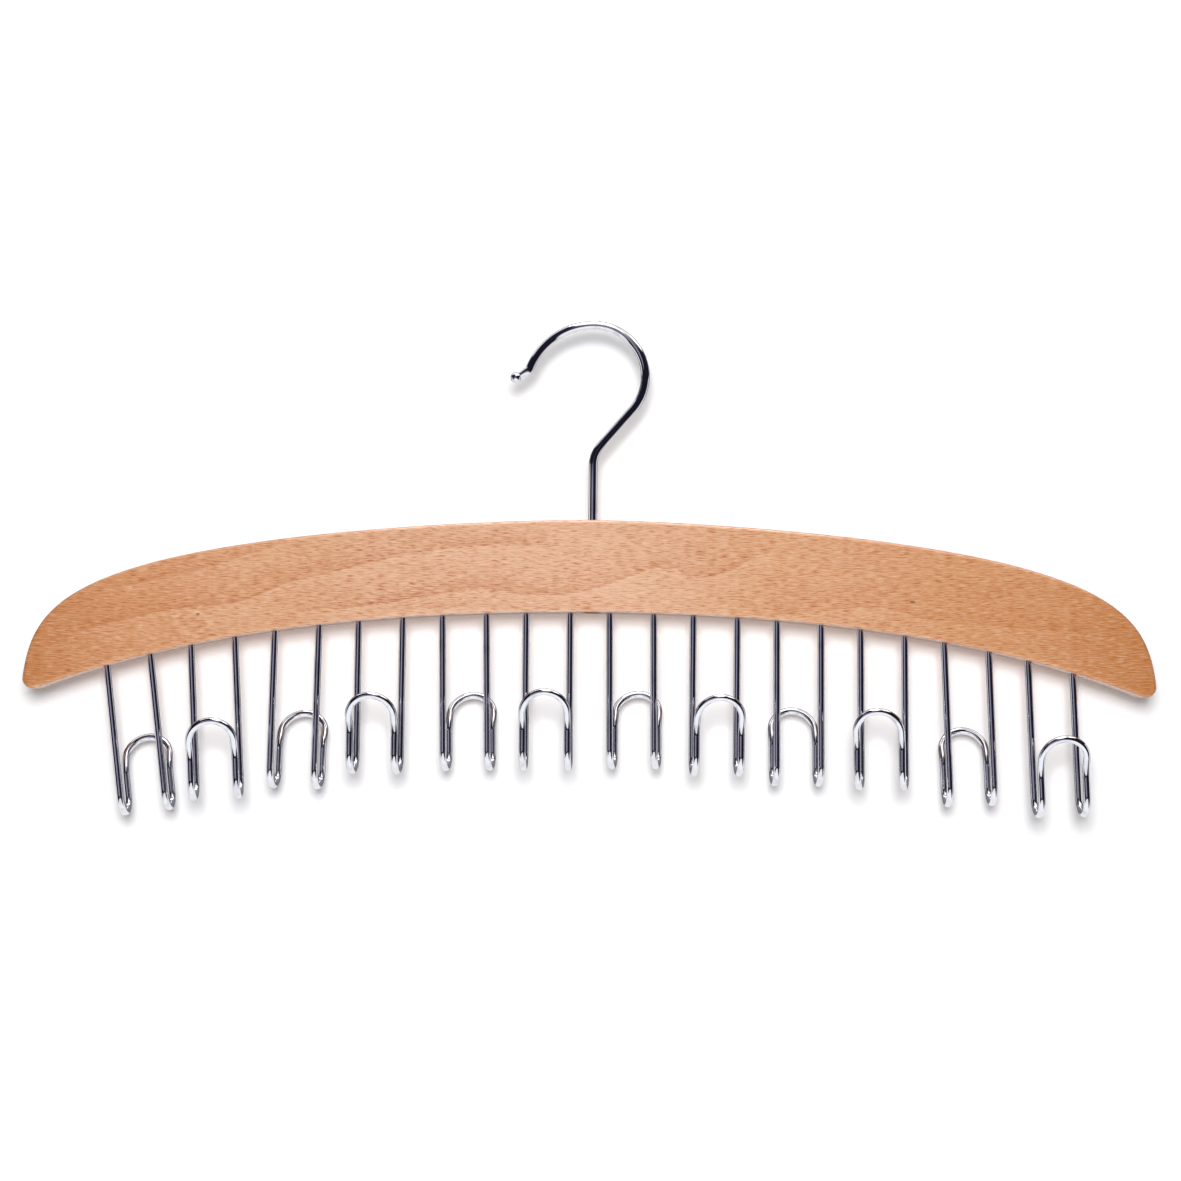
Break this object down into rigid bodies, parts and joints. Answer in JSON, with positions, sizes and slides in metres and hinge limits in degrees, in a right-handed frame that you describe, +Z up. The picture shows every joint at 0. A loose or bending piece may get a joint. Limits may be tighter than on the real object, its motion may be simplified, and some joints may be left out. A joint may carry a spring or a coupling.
{
  "type": "belt hanger",
  "caption": "Arched wooden hanger board on a swivelling wire rod hook, with a row of bent-wire belt hooks that turn up behind and in front of it in turn.",
  "frame": {"origin": "the rod seat: the highest point on the inner side of the swivel hook's crown, on the swivel axis", "axes": "+Z up along the swivel axis, +X along the board to the right as seen from the front, +Y from the front face to the back face"},
  "size_m": [0.4374, 0.0416, 0.1953],
  "materials": {
    "beech": "satin clear varnish",
    "hook_chrome": "polished",
    "belt_hook_chrome": "polished",
    "zinc": "zinc plated"
  },
  "bodies": {
    "hanger": {"board": "beech", "hook_washer": "zinc", "belt_hook_01": "belt_hook_chrome", "belt_hook_02": "belt_hook_chrome", "belt_hook_03": "belt_hook_chrome", "belt_hook_04": "belt_hook_chrome", "belt_hook_05": "belt_hook_chrome", "belt_hook_06": "belt_hook_chrome", "belt_hook_07": "belt_hook_chrome", "belt_hook_08": "belt_hook_chrome", "belt_hook_09": "belt_hook_chrome", "belt_hook_10": "belt_hook_chrome", "belt_hook_11": "belt_hook_chrome", "belt_hook_12": "belt_hook_chrome"},
    "rod_hook": {"swivel_hook": "hook_chrome"}
  },
  "joints": [
    {"name": "hook_swivel", "type": "hinge", "parent": "hanger", "child": "rod_hook", "pos_m": [0, 0, -0.076], "axis": [0, 0, 1], "continuous": true}
  ]
}
